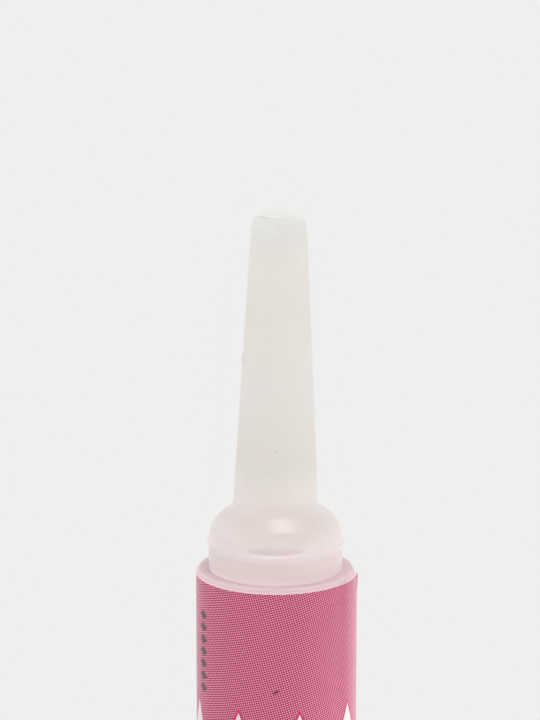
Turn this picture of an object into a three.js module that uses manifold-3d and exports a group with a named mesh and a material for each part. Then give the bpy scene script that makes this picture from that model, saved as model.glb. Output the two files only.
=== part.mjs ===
// A small squeeze bottle of nail glue, capped and labelled, standing on its foot.
// Five pieces: a blown bottle, the glue in it, a dropper nozzle pressed into its neck,
// a tall tapered cap pushed over the nozzle, and a printed film label wound round the body.
// Millimetres, +Z up, origin at the middle of the foot, front towards -Y.
import * as THREE from "three";
import { mergeVertices } from "three/addons/utils/BufferGeometryUtils.js";
import Module from "manifold-3d";

// Facets round the axis, steps along half a round corner, and steps along the film.
const ROUND_FACETS = 48;
const NOZZLE_FACETS = 36;
const CORNER_STEPS = 2;
const FILM_STEPS = 96;

// Bottle body.
const bodyDiameter = 11.55;
const bodyHeight = 38;
const bodyWall = 0.7;
const shoulderThickness = 0.8;
const shoulderRound = 0.35;
const footRound = 0.7;
const footRingWidth = 0.9;
const cavityRound = 0.5;
const baseThickness = 0.7;
const pushUpDepth = 0.5;
const pushUpFlare = 0.9;

// Scar across the base where the mould pinched the blown tube shut.
const pinchLineMargin = 0.8;
const pinchLineWidth = 0.3;
const pinchLineProud = 0.15;

// Bottle neck, with a ring that the cap snaps over.
const neckHeight = 2.95;
const neckWall = 1.05;
const neckChamfer = 0.25;
const snapRingProud = 0.08;
const snapRingWidth = 0.5;
const snapRingDrop = 0.85;

// Cap: a skirt with a pull bead, a dome, and a hollow spire with a solid tip.
const skirtDiameter = 9.8;
const skirtWall = 0.7;
const skirtRound = 0.15;
const skirtLeadIn = 0.2;
const beadProud = 0.14;
const beadRadius = 0.42;
const beadDrop = 0.7;
const grooveDepth = 0.08;
const domeStep = 0.06;
const domeRound = 1.24;
const domeRoundAngle = 50;
const domeRise = 2.15;
const domeWall = 0.64;
const spireFootDiameter = 6.14;
const spireTipDiameter = 4.04;
const spireFootWall = 0.65;
const spireTipWall = 0.72;
const capHeight = 26.55;
const tipThickness = 2.6;
const tipRound = 0.95;

// Thumbnail catch: a crescent cut into the front of the cap over the bead.
const catchHalfAngle = 27;
const catchDepth = 0.15;
const catchHeight = 0.5;
const catchLift = 0.2;

// Sealing pin that hangs from the cap's tip into the spout.
const pinEngagement = 1.5;
const pinHeadroom = 2.1;
const pinShankRise = 0.5;
const pinFootSpread = 0.4;
const pinChamfer = 0.15;

// Dropper nozzle.
const plugDepth = 4.2;
const plugRingCount = 2;
const plugRingProud = 0.1;
const plugRingWidth = 0.45;
const plugLeadIn = 0.5;
const plugChamfer = 0.25;
const plugLip = 0.75;
const flangeThickness = 0.35;
const spoutFilletWidth = 0.45;
const spoutFilletRise = 0.9;
const spoutTipRound = 0.2;
const spoutBore = 0.9;
const funnelDepth = 2.6;

// Label film, wound once round, with its end lapped over its start and standing a little proud.
const filmThickness = 0.09;
const filmTopGap = 0.05;
const filmBottomGap = 0.8;
const filmLap = 2.6;
const filmRamp = 1.2;
const filmTail = 1.5;
const filmTailLift = 0.1;
const filmStartAngle = -22;

// Glue, with its surface drawn up at the wall.
const glueHeadspace = 1.35;
const meniscusRise = 0.5;
const meniscusAngle = 25;

// Clearances.
const capSlip = 0.07;
const rimGap = 0.05;
const plugSlip = 0.03;
const flangeGap = 0.03;
const flangeToDome = 0.25;
const spoutToSpire = 0.45;
const pinSlip = 0.1;
const adhesive = 0.02;
const glueGap = 0.05;

// Radii and levels of the bottle.
const bodyRadius = bodyDiameter / 2;
const cavityRadius = bodyRadius - bodyWall;
const cavityFloor = pushUpDepth + baseThickness;
const cavityTop = bodyHeight - shoulderThickness;
const pushUpRadius = bodyRadius - footRound - footRingWidth;
const neckTop = bodyHeight + neckHeight;
const neckEdge = neckTop - neckChamfer;

// Radii and levels of the cap, whose dome springs from level with the neck's edge.
const skirtRadius = skirtDiameter / 2;
const skirtBoreRadius = skirtRadius - skirtWall;
const capRim = bodyHeight + rimGap;
const capTop = bodyHeight + capHeight;
const domeSpring = neckEdge;
const domeRadius = skirtRadius - domeStep;
const domeCentre = domeRadius - domeRound;
const beadMiddle = domeSpring - beadDrop;
const spireFoot = domeSpring + domeRise;
const spireFootRadius = spireFootDiameter / 2;
const spireTop = capTop - tipRound;
const spireTipRadius = spireTipDiameter / 2;

// The neck fits the skirt's bore, and carries the nozzle in a bore of its own.
const neckRadius = skirtBoreRadius - capSlip - snapRingProud;
const neckBoreRadius = neckRadius - neckWall;

// The radius, at height z, of the cone through two points of radius x and height y.
function coneRadius(z, foot, top) {
  return THREE.MathUtils.mapLinear(z, foot.y, top.y, foot.x, top.x);
}

// The cap's hollow: a round and a cone under the dome, then a slower taper up the spire.
const innerRound = skirtBoreRadius - domeCentre;
const roundEnd = THREE.MathUtils.degToRad(domeRoundAngle);
const innerConeFoot = new THREE.Vector2(Math.cos(roundEnd), Math.sin(roundEnd))
  .multiplyScalar(innerRound)
  .add(new THREE.Vector2(domeCentre, domeSpring));
const hollowFoot = new THREE.Vector2(spireFootRadius - spireFootWall, spireFoot - domeWall);
const hollowTop = new THREE.Vector2(0, capTop - tipThickness);
hollowTop.x =
  coneRadius(
    hollowTop.y,
    new THREE.Vector2(spireFootRadius, spireFoot),
    new THREE.Vector2(spireTipRadius, spireTop),
  ) - spireTipWall;

// The nozzle fits the neck's bore below and the cap's hollow above.
const flangeFoot = neckTop + flangeGap;
const flangeTop = flangeFoot + flangeThickness;
const flangeRadius = coneRadius(flangeTop, innerConeFoot, hollowFoot) - flangeToDome;
const plugFoot = neckTop - plugDepth;
const plugRingRadius = neckBoreRadius - plugSlip;
const plugRadius = plugRingRadius - plugRingProud;
const spoutTop = hollowTop.y - pinHeadroom;
const spoutFootRadius = hollowFoot.x - spoutToSpire;
const spoutTipRadius = coneRadius(spoutTop, hollowFoot, hollowTop) - spoutToSpire;
const spoutBoreRadius = spoutBore / 2;

// The pin fits the spout's bore.
const pinRadius = spoutBoreRadius - pinSlip;
const pinTip = spoutTop - pinEngagement;

// A profile, radius against height, that is turned about +Z into one closed body.
class Profile extends THREE.Path {
  constructor(radius, height) {
    super();
    this.moveTo(radius, height);
  }

  // A straight run to a point.
  line(radius, height) {
    this.lineTo(radius, height);
    return this;
  }

  // A straight run to a round of the given centre and size, then along it between two angles in degrees.
  round(radius, height, size, from, to) {
    const start = THREE.MathUtils.degToRad(from);
    const end = THREE.MathUtils.degToRad(to);
    this.lineTo(radius + size * Math.cos(start), height + size * Math.sin(start));
    this.absarc(radius, height, size, start, end, end < start);
    return this;
  }

  turned(facets) {
    return new THREE.LatheGeometry(this.getPoints(CORNER_STEPS), facets).rotateX(Math.PI / 2);
  }
}

const wasm = await Module();
wasm.setup();

// A closed geometry as a solid that can be joined or cut.
function solidFrom(geometry) {
  const bare = geometry.clone();
  bare.deleteAttribute("normal");
  bare.deleteAttribute("uv");
  const merged = mergeVertices(bare);
  const mesh = new wasm.Mesh({
    numProp: 3,
    vertProperties: new Float32Array(merged.attributes.position.array),
    triVerts: new Uint32Array(merged.index.array),
  });
  return new wasm.Manifold(mesh);
}

// A joined or cut solid as a geometry.
function geometryFrom(solid) {
  const mesh = solid.getMesh();
  const geometry = new THREE.BufferGeometry();
  geometry.setAttribute("position", new THREE.BufferAttribute(mesh.vertProperties, 3));
  geometry.setIndex(new THREE.BufferAttribute(mesh.triVerts, 1));
  geometry.computeVertexNormals();
  return geometry;
}

// The blown bottle: a foot ring round a push-up, a straight body, a flat shoulder and the neck.
// The profile climbs the outside, then comes down the neck's bore and the cavity.
function bottleShell() {
  const ringMiddle = neckEdge - snapRingDrop;
  const ringFoot = ringMiddle - snapRingWidth / 2;
  const ringTop = ringMiddle + snapRingWidth / 2;
  const ringRadius = neckRadius + snapRingProud;
  return new Profile(0, pushUpDepth)
    .line(pushUpRadius - pushUpFlare, pushUpDepth)
    .line(pushUpRadius, 0)
    .round(bodyRadius - footRound, footRound, footRound, -90, 0)
    .round(bodyRadius - shoulderRound, bodyHeight - shoulderRound, shoulderRound, 0, 90)
    .line(neckRadius, bodyHeight)
    .line(neckRadius, ringFoot)
    .line(ringRadius, ringFoot + snapRingProud)
    .line(ringRadius, ringTop - snapRingProud)
    .line(neckRadius, ringTop)
    .line(neckRadius, neckEdge)
    .line(neckRadius - neckChamfer, neckTop)
    .line(neckBoreRadius, neckTop)
    .line(neckBoreRadius, cavityTop)
    .round(cavityRadius - cavityRound, cavityTop - cavityRound, cavityRound, 90, 0)
    .round(cavityRadius - cavityRound, cavityFloor + cavityRound, cavityRound, 0, -90)
    .line(0, cavityFloor)
    .turned(ROUND_FACETS);
}

// A bar along the middle of the push-up, rooted half way through the base.
function pinchLine() {
  const length = 2 * (pushUpRadius - pushUpFlare - pinchLineMargin);
  const foot = pushUpDepth - pinchLineProud;
  const top = pushUpDepth + baseThickness / 2;
  return new THREE.BoxGeometry(length, pinchLineWidth, top - foot).translate(0, 0, (foot + top) / 2);
}

function bottle() {
  return geometryFrom(solidFrom(bottleShell()).add(solidFrom(pinchLine())));
}

// The glue fills the cavity to a headspace under the nozzle's plug.
function glue() {
  const radius = cavityRadius - glueGap;
  const foot = cavityFloor + glueGap;
  const level = Math.min(plugFoot, cavityTop) - glueHeadspace;
  const edge = level + meniscusRise * (1 - Math.sin(THREE.MathUtils.degToRad(meniscusAngle)));
  return new Profile(0, foot)
    .round(radius - cavityRound, foot + cavityRound, cavityRound, -90, 0)
    .line(radius, edge)
    .round(radius - meniscusRise, level + meniscusRise, meniscusRise, -meniscusAngle, -90)
    .line(0, level)
    .turned(ROUND_FACETS);
}

// The dropper nozzle: a ringed plug, a flange that seats on the neck, and a long spout.
// The profile is a loop: up the outside, over the tip, down the bore and out along its funnel.
function nozzle() {
  const lipRadius = plugRadius - plugLip;
  const ringPitch = (plugDepth - plugLeadIn) / (plugRingCount + 1);
  const profile = new Profile(lipRadius, plugFoot).line(plugRadius - plugChamfer, plugFoot);
  for (let ring = 0; ring < plugRingCount; ring++) {
    const ringFoot = plugFoot + plugLeadIn + ring * ringPitch;
    profile
      .line(plugRadius, ringFoot)
      .line(plugRingRadius, ringFoot + plugRingProud)
      .line(plugRingRadius, ringFoot + plugRingWidth - plugRingProud)
      .line(plugRadius, ringFoot + plugRingWidth);
  }
  return profile
    .line(plugRadius, flangeFoot)
    .line(flangeRadius, flangeFoot)
    .line(flangeRadius, flangeTop)
    .line(spoutFootRadius + spoutFilletWidth, flangeTop)
    .line(spoutFootRadius, flangeTop + spoutFilletRise)
    .round(spoutTipRadius - spoutTipRound, spoutTop - spoutTipRound, spoutTipRound, 0, 90)
    .line(spoutBoreRadius, spoutTop)
    .line(spoutBoreRadius, plugFoot + funnelDepth)
    .line(lipRadius, plugFoot)
    .turned(NOZZLE_FACETS);
}

// The cap's turned shell: pin, hollow, dome and bore inside; skirt, bead, groove, dome and spire outside.
// The profile starts at the pin's tip, comes down the inside, and climbs the outside to the cap's tip.
function capShell() {
  const beadCentre = skirtRadius + beadProud - beadRadius;
  const beadReach = Math.sqrt(beadRadius ** 2 - (skirtRadius - beadCentre) ** 2);
  const beadAngle = THREE.MathUtils.radToDeg(Math.asin(beadReach / beadRadius));
  const grooveMiddle = (beadMiddle + beadReach + domeSpring) / 2;
  return new Profile(0, pinTip)
    .line(pinRadius - pinChamfer, pinTip)
    .line(pinRadius, pinTip + pinChamfer)
    .line(pinRadius, spoutTop + pinShankRise)
    .line(pinRadius + pinFootSpread, hollowTop.y)
    .line(hollowTop.x, hollowTop.y)
    .line(hollowFoot.x, hollowFoot.y)
    .round(domeCentre, domeSpring, innerRound, domeRoundAngle, 0)
    .line(skirtBoreRadius, capRim + skirtLeadIn)
    .line(skirtBoreRadius + skirtLeadIn, capRim)
    .round(skirtRadius - skirtRound, capRim + skirtRound, skirtRound, -90, 0)
    .round(beadCentre, beadMiddle, beadRadius, -beadAngle, beadAngle)
    .line(domeRadius - grooveDepth, grooveMiddle)
    .round(domeCentre, domeSpring, domeRound, 0, domeRoundAngle)
    .line(spireFootRadius, spireFoot)
    .round(spireTipRadius - tipRound, spireTop, tipRound, 0, 90)
    .line(0, capTop)
    .turned(ROUND_FACETS);
}

// The cutter for the thumbnail catch. Its floor is an arc that meets the cap's wall at both ends of the
// crescent and lies the catch's depth inside it at the front.
function catchCutter() {
  const halfAngle = THREE.MathUtils.degToRad(catchHalfAngle);
  const halfChord = domeRadius * Math.sin(halfAngle);
  const sagitta = domeRadius * (1 - Math.cos(halfAngle)) - catchDepth;
  const floorRadius = (halfChord ** 2 + sagitta ** 2) / (2 * sagitta);
  const floorAngle = Math.asin(halfChord / floorRadius);
  const front = domeRadius + skirtWall;
  const outline = new THREE.Shape();
  outline.moveTo(-halfChord, -front);
  outline.lineTo(halfChord, -front);
  outline.absarc(
    0,
    floorRadius + catchDepth - domeRadius,
    floorRadius,
    -Math.PI / 2 + floorAngle,
    -Math.PI / 2 - floorAngle,
    true,
  );
  return new THREE.ExtrudeGeometry(outline, { depth: catchHeight, bevelEnabled: false, curveSegments: 6 })
    .translate(0, 0, beadMiddle + catchLift);
}

function cap() {
  return geometryFrom(solidFrom(capShell()).subtract(solidFrom(catchCutter())));
}

// The label: a film of even thickness that climbs a ramp over its own start and lifts at its tail.
function label() {
  const { smoothstep } = THREE.MathUtils;
  const seat = bodyRadius + adhesive;
  const fullTurn = 2 * Math.PI;
  const end = fullTurn + filmLap / seat;
  const inner = [];
  const outer = [];
  for (let step = 0; step <= FILM_STEPS; step++) {
    const angle = (end * step) / FILM_STEPS;
    const climb = (filmThickness + adhesive) * smoothstep(angle, fullTurn - filmRamp / seat, fullTurn);
    const lift = filmTailLift * smoothstep(angle, end - filmTail / seat, end);
    const direction = new THREE.Vector2(Math.cos(angle), Math.sin(angle));
    inner.push(direction.clone().multiplyScalar(seat + climb + lift));
    outer.push(direction.clone().multiplyScalar(seat + climb + lift + filmThickness));
  }
  const outline = new THREE.Shape([...outer, ...inner.reverse()]);
  const depth = bodyHeight - shoulderRound - filmTopGap - footRound - filmBottomGap;
  return new THREE.ExtrudeGeometry(outline, { depth, bevelEnabled: false });
}

// Finishes: milky plastic, pink printed film and clear glue.
const bottlePlastic = { color: 0xe6d3d3, roughness: 0.45, metalness: 0 };
const capPlastic = { color: 0xe4e0d9, roughness: 0.5, metalness: 0 };
const nozzlePlastic = { color: 0xe8e6e2, roughness: 0.45, metalness: 0 };
const printedFilm = { color: 0xc16982, roughness: 0.4, metalness: 0 };
const clearGlue = { color: 0xf1ece2, roughness: 0.1, metalness: 0, transparent: true, opacity: 0.6 };

function piece(name, geometry, finish) {
  const mesh = new THREE.Mesh(geometry, new THREE.MeshStandardMaterial(finish));
  mesh.name = name;
  return mesh;
}

const wrapLabel = piece("wrap_label", label(), printedFilm);
wrapLabel.position.z = footRound + filmBottomGap;
wrapLabel.rotation.z = THREE.MathUtils.degToRad(filmStartAngle);

const tube = new THREE.Group();
tube.name = "nail_glue_tube";
tube.add(
  piece("bottle_body", bottle(), bottlePlastic),
  piece("glue_fill", glue(), clearGlue),
  piece("dropper_nozzle", nozzle(), nozzlePlastic),
  wrapLabel,
  piece("cap", cap(), capPlastic),
);

export default tube;
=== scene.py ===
"""Looks of a small tube of nail glue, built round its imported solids.

Sizes are millimetres in the part's own frame (+Z up, front towards -Y, origin at the middle of the
foot), angles are degrees and colours are 0 to 255 in sRGB. Meshes are made in metres.
"""

import logging
import math
from collections.abc import Callable, Sequence
from dataclasses import dataclass, field
from enum import Enum

import bpy
import numpy as np
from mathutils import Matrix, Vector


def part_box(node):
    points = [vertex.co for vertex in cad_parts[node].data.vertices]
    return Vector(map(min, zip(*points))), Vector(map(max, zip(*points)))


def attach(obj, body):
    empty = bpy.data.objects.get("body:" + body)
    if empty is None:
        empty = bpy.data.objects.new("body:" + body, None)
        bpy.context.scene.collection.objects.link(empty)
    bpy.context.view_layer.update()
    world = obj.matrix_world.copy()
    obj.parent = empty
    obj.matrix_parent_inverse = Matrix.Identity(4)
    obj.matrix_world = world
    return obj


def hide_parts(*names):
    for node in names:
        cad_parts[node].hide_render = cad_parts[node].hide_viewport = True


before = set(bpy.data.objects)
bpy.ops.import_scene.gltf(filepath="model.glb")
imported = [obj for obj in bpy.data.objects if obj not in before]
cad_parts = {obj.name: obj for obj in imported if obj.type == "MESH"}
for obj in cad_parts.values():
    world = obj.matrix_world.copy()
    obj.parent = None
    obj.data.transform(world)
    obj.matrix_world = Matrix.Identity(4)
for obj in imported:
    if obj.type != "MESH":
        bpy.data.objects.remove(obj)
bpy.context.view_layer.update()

LOG = logging.getLogger("nail_glue_tube")
MM = 0.001
FILM_MAP = "FilmMap"
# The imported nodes, in the order of the datum's solids.
NODES = ("bottle_body", "dropper_nozzle", "glue_fill", "wrap_label", "cap")
FRONT = -np.pi / 2
TINY = 1e-6
# Largest share of a run that the round of one corner may take, and the least turn that is rounded.
ROUND_SHARE = 0.49
LEAST_TURN = 1e-3
# Sockets of a Mix node for the share and the two colours, and for their mix.
MIX_INPUTS = (0, 6, 7)
MIX_RESULT = 2

Colour = tuple[float, float, float]
Place = tuple[float, float, float]
Span = tuple[float, float]


class Ends(Enum):
    """How the first and last rows of a grid of points are closed."""

    POLES = "poles"
    CAPS = "caps"
    LOOP = "loop"


def linear(colour: Colour) -> tuple[float, float, float, float]:
    """Turns an sRGB colour into the linear colour that a shader takes.

    A share s up to 0.04045 becomes s / 12.92, and a larger one ((s + 0.055) / 1.055)^2.4.

    Args:
        colour: Red, green and blue from 0 to 255.

    Returns:
        Linear red, green, blue and an alpha of 1.
    """
    share = np.asarray(colour, float) / 255
    light = np.where(share <= 0.04045, share / 12.92, ((share + 0.055) / 1.055) ** 2.4)
    return (*light.tolist(), 1.0)


def smooth_step(low: float, high: float, x: np.ndarray) -> np.ndarray:
    """Rises from 0 at low to 1 at high along the cubic 3t^2 - 2t^3."""
    t = np.clip((x - low) / (high - low), 0, 1)
    return t * t * (3 - 2 * t)


def bell(x: np.ndarray, middle: float, half_width: float) -> np.ndarray:
    """A smooth bump, the square of 1 - t^2, where t runs from 0 at the middle to 1 at the half width."""
    t = np.clip(np.abs(x - middle) / half_width, 0, 1)
    return (1 - t * t) ** 2


def ripple(
    points: np.ndarray, seed: int, waves: int, pitch: float, spread: Span = (0.7, 1.5)
) -> np.ndarray:
    """Even, repeatable roughness: a sum of plane waves of about one pitch, in seeded directions and phases.

    Args:
        points: Places in the last axis, in millimetres.
        seed: Seed of the directions, phases and lengths.
        waves: How many waves are added.
        pitch: Length that the waves vary about, in millimetres.
        spread: Shares of the pitch between which their lengths lie.

    Returns:
        Heights with a mean square near 1.
    """
    draw = np.random.default_rng(seed)
    direction = draw.normal(size=(3, waves))
    direction /= np.linalg.norm(direction, axis=0)
    phase = draw.uniform(0, 2 * np.pi, waves)
    rate = 2 * np.pi / (pitch * draw.uniform(*spread, waves))
    return np.sin(points @ direction * rate + phase).sum(-1) * math.sqrt(2 / waves)


@dataclass(frozen=True)
class Turned:
    """Points round +Z by their radius, angle and height, rows by columns."""

    radius: np.ndarray
    angle: np.ndarray
    height: np.ndarray

    @classmethod
    def from_outline(cls, outline: np.ndarray, facets: int) -> "Turned":
        """Repeats an outline at even angles.

        Args:
            outline: Rows of radius and height.
            facets: Columns round the axis.

        Returns:
            The turned outline.
        """
        angles = np.linspace(-np.pi, np.pi, facets, endpoint=False)
        radius, angle = np.meshgrid(outline[:, 0], angles, indexing="ij")
        return cls(radius, angle, np.broadcast_to(outline[:, 1:], radius.shape))

    def points(self) -> np.ndarray:
        """The points as x = r cos a, y = r sin a, z = h."""
        x, y = self.radius * np.cos(self.angle), self.radius * np.sin(self.angle)
        return np.stack([x, y, self.height], -1)


@dataclass
class Outline:
    """A chain of corners, each a radius, a height and its round, with the material on its left."""

    corners: list[tuple[float, float, float]] = field(default_factory=list)

    def to(self, radius: float, height: float, round_size: float = 0.0) -> "Outline":
        """Adds a corner and returns the outline."""
        self.corners.append((radius, height, round_size))
        return self

    def ring(self, radius: float, proud: float, foot: float, width: float, rounds: Span) -> "Outline":
        """Adds a raised ring with flanks at 45 degrees.

        Args:
            radius: Radius of what it stands on.
            proud: How far it stands out.
            foot: Height of its lower edge.
            width: Its height along the axis.
            rounds: Rounds of its two feet and of its crest's two edges.

        Returns:
            The outline.
        """
        crest, top = radius + proud, foot + width
        self.to(radius, foot, rounds[0]).to(crest, foot + proud, rounds[1])
        return self.to(crest, top - proud, rounds[1]).to(radius, top, rounds[0])

    def sampled(self, step: float, arc_steps: int = 6) -> np.ndarray:
        """Points along the outline, with every eased corner turned into an arc.

        A corner that turns by t and is eased by a round of size s gives way to an arc that begins and
        ends s tan(t / 2) from it, shortened where a neighbouring run is too short for that.

        Args:
            step: Longest spacing of points along a straight run, in millimetres.
            arc_steps: Least number of steps along an arc.

        Returns:
            An array of radius and height, one row for each point.
        """
        at, rounds = np.split(np.array(self.corners), [2], axis=1)
        nodes = [at[:1]]
        for before, here, after, size in zip(at, at[1:], at[2:], rounds[1:, 0]):
            nodes.append(self._eased(before, here, after, size, step, arc_steps))
        nodes.append(at[-1:])
        chain = [nodes[0]]
        for left, right in zip(nodes, nodes[1:]):
            count = max(1, math.ceil(np.linalg.norm(right[0] - left[-1]) / step))
            share = np.linspace(0, 1, count + 1)[1:-1, None]
            chain += [left[-1] * (1 - share) + right[0] * share, right]
        return np.concatenate(chain)

    @staticmethod
    def _eased(
        before: np.ndarray, here: np.ndarray, after: np.ndarray, size: float, step: float, arc_steps: int
    ) -> np.ndarray:
        """The points of one corner: itself, or the arc that eases it.

        Args:
            before: The corner before it.
            here: The corner.
            after: The corner after it.
            size: Radius of the arc, 0 for none.
            step: Longest spacing along the arc.
            arc_steps: Least number of steps along the arc.

        Returns:
            An array of radius and height.
        """
        back, on = before - here, after - here
        reach = min(np.linalg.norm(back), np.linalg.norm(on)) * ROUND_SHARE
        back, on = back / np.linalg.norm(back), on / np.linalg.norm(on)
        turn = np.pi - math.acos(np.clip(back @ on, -1, 1))
        if size <= 0 or turn < LEAST_TURN:
            return here[None]
        run = min(size * math.tan(turn / 2), reach)
        radius = run / math.tan(turn / 2)
        middle = here + (back + on) / np.linalg.norm(back + on) * math.hypot(run, radius)
        start = here + back * run - middle
        side = np.sign(back[1] * on[0] - back[0] * on[1])
        angles = side * np.linspace(0, turn, max(arc_steps, math.ceil(radius * turn / step)) + 1)
        cos, sin = np.cos(angles), np.sin(angles)
        return middle + np.stack([start[0] * cos - start[1] * sin, start[0] * sin + start[1] * cos], 1)


def put(name: str, data: bpy.types.ID) -> bpy.types.Object:
    """Puts a mesh, light or camera into the scene as an object at the origin.

    Args:
        name: The object's name.
        data: What it shows.

    Returns:
        The new object.
    """
    thing = bpy.data.objects.new(name, data)
    bpy.context.scene.collection.objects.link(thing)
    return thing


def grid_piece(
    name: str, points: np.ndarray, ends: Ends, film_map: np.ndarray | None = None
) -> bpy.types.Object:
    """Makes a closed body from a grid of points whose columns run round it.

    Neighbouring rows and columns are joined by quads, and the last column joins the first. At poles the
    end rows shrink to a point, at caps each is closed by one face, and in a loop the last row joins the
    first.

    Args:
        name: The piece's name.
        points: Rows by columns by 3, in millimetres.
        ends: How the end rows are closed.
        film_map: Rows by columns by 2, the place of each point on a flat film, or None.

    Returns:
        The new object, at the origin.
    """
    rows, columns = points.shape[:2]
    index = np.arange(rows * columns).reshape(rows, columns)
    flat = points.reshape(-1, 3)
    if ends is Ends.POLES:
        inner = points[1:-1].reshape(-1, 3)
        flat = np.concatenate([points[0, :1], inner, points[-1, :1]])
        middle = np.arange(len(inner)).reshape(rows - 2, columns) + 1
        index = np.concatenate([np.zeros((1, columns), int), middle, np.full((1, columns), len(inner) + 1)])
    if ends is Ends.LOOP:
        index = np.concatenate([index, index[:1]])
    turned = np.roll(index, -1, axis=1)
    quads = np.stack([index[:-1], turned[:-1], turned[1:], index[1:]], -1)
    faces = quads.reshape(-1, 4).tolist()
    if ends is Ends.POLES:
        first, last = quads[0][:, [0, 2, 3]], quads[-1][:, :3]
        faces = first.tolist() + quads[1:-1].reshape(-1, 4).tolist() + last.tolist()
    if ends is Ends.CAPS:
        faces += [index[0, ::-1].tolist(), index[-1].tolist()]
    mesh = bpy.data.meshes.new(name)
    mesh.from_pydata((flat * MM).tolist(), [], faces)
    mesh.shade_smooth()
    if film_map is not None:
        corners = np.empty(len(mesh.loops), int)
        mesh.loops.foreach_get("vertex_index", corners)
        layer = mesh.uv_layers.new(name=FILM_MAP)
        layer.uv.foreach_set("vector", film_map.reshape(-1, 2)[corners].astype(np.float32).ravel())
    return put(name, mesh)


def operator(operation: str, reflected: bool = False) -> Callable[..., "Value"]:
    """Makes a method of Value that adds one Math node.

    Args:
        operation: The node's operation.
        reflected: Whether the value itself comes last, as in 1 - value.

    Returns:
        The method.
    """

    def method(value: "Value", *others: "Value | float") -> "Value":
        """The operation's result for the value and the others."""
        operands = (*others, value) if reflected else (value, *others)
        return value.math(operation, *operands)

    return method


@dataclass(frozen=True)
class Value:
    """One output of a node: a number, colour, vector or shader, for use in Python expressions."""

    graph: "Graph"
    node: bpy.types.Node
    socket: int | str = 0

    __add__ = operator("ADD")
    __radd__ = operator("ADD", reflected=True)
    __sub__ = operator("SUBTRACT")
    __rsub__ = operator("SUBTRACT", reflected=True)
    __mul__ = operator("MULTIPLY")
    __rmul__ = operator("MULTIPLY", reflected=True)
    __truediv__ = operator("DIVIDE")
    __rtruediv__ = operator("DIVIDE", reflected=True)
    __pow__ = operator("POWER")
    __rpow__ = operator("POWER", reflected=True)
    __abs__ = operator("ABSOLUTE")
    cos = operator("COSINE")
    least = operator("MINIMUM")
    most = operator("MAXIMUM")

    def output(self, socket: int | str) -> "Value":
        """Another output of the same node."""
        return Value(self.graph, self.node, socket)

    def math(self, operation: str, *operands: "Value | float") -> "Value":
        """The result of a new Math node whose sockets take the operands in order."""
        return self.graph.node("Math", dict(enumerate(operands)), operation=operation)

    def wrapped(self, pitch: float) -> "Value":
        """This brought into the range from -pitch / 2 to pitch / 2 by whole pitches."""
        return self.math("WRAP", self, pitch / 2, -pitch / 2)

    def step(self, low: float, high: float) -> "Value":
        """A smooth step from 0 at low to 1 at high."""
        sockets = {0: self, 1: low, 2: high}
        return self.graph.node("MapRange", sockets, interpolation_type="SMOOTHSTEP")


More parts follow.
